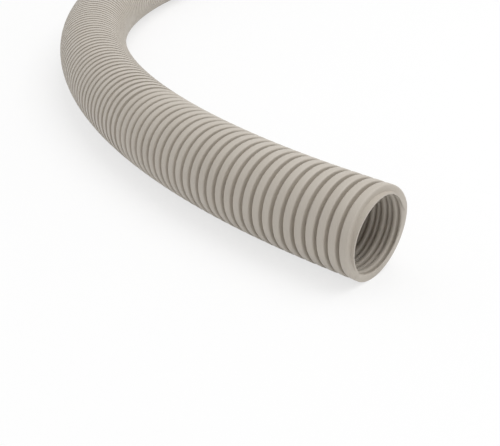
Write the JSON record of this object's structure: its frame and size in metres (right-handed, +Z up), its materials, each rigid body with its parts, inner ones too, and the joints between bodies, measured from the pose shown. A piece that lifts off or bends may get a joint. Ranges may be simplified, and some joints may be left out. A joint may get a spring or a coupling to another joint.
{
  "type": "corrugated conduit",
  "caption": "Pliable plastic conduit with corrugated wall, lying flat in a wide quarter bend, its near end cut at a slant.",
  "frame": {"origin": "on the centreline, in the middle of the second crest behind the near mouth, the first whole one", "axes": "+Z up from the floor the conduit lies on; the near mouth faces -Y, the conduit runs along +Y, bends towards +X, and its far mouth faces +X"},
  "size_m": [0.7575, 0.464, 0.04],
  "materials": {
    "pvc": "satin extruded plastic, warm light grey"
  },
  "bodies": {
    "root": {"conduit": "pvc"}
  },
  "joints": []
}
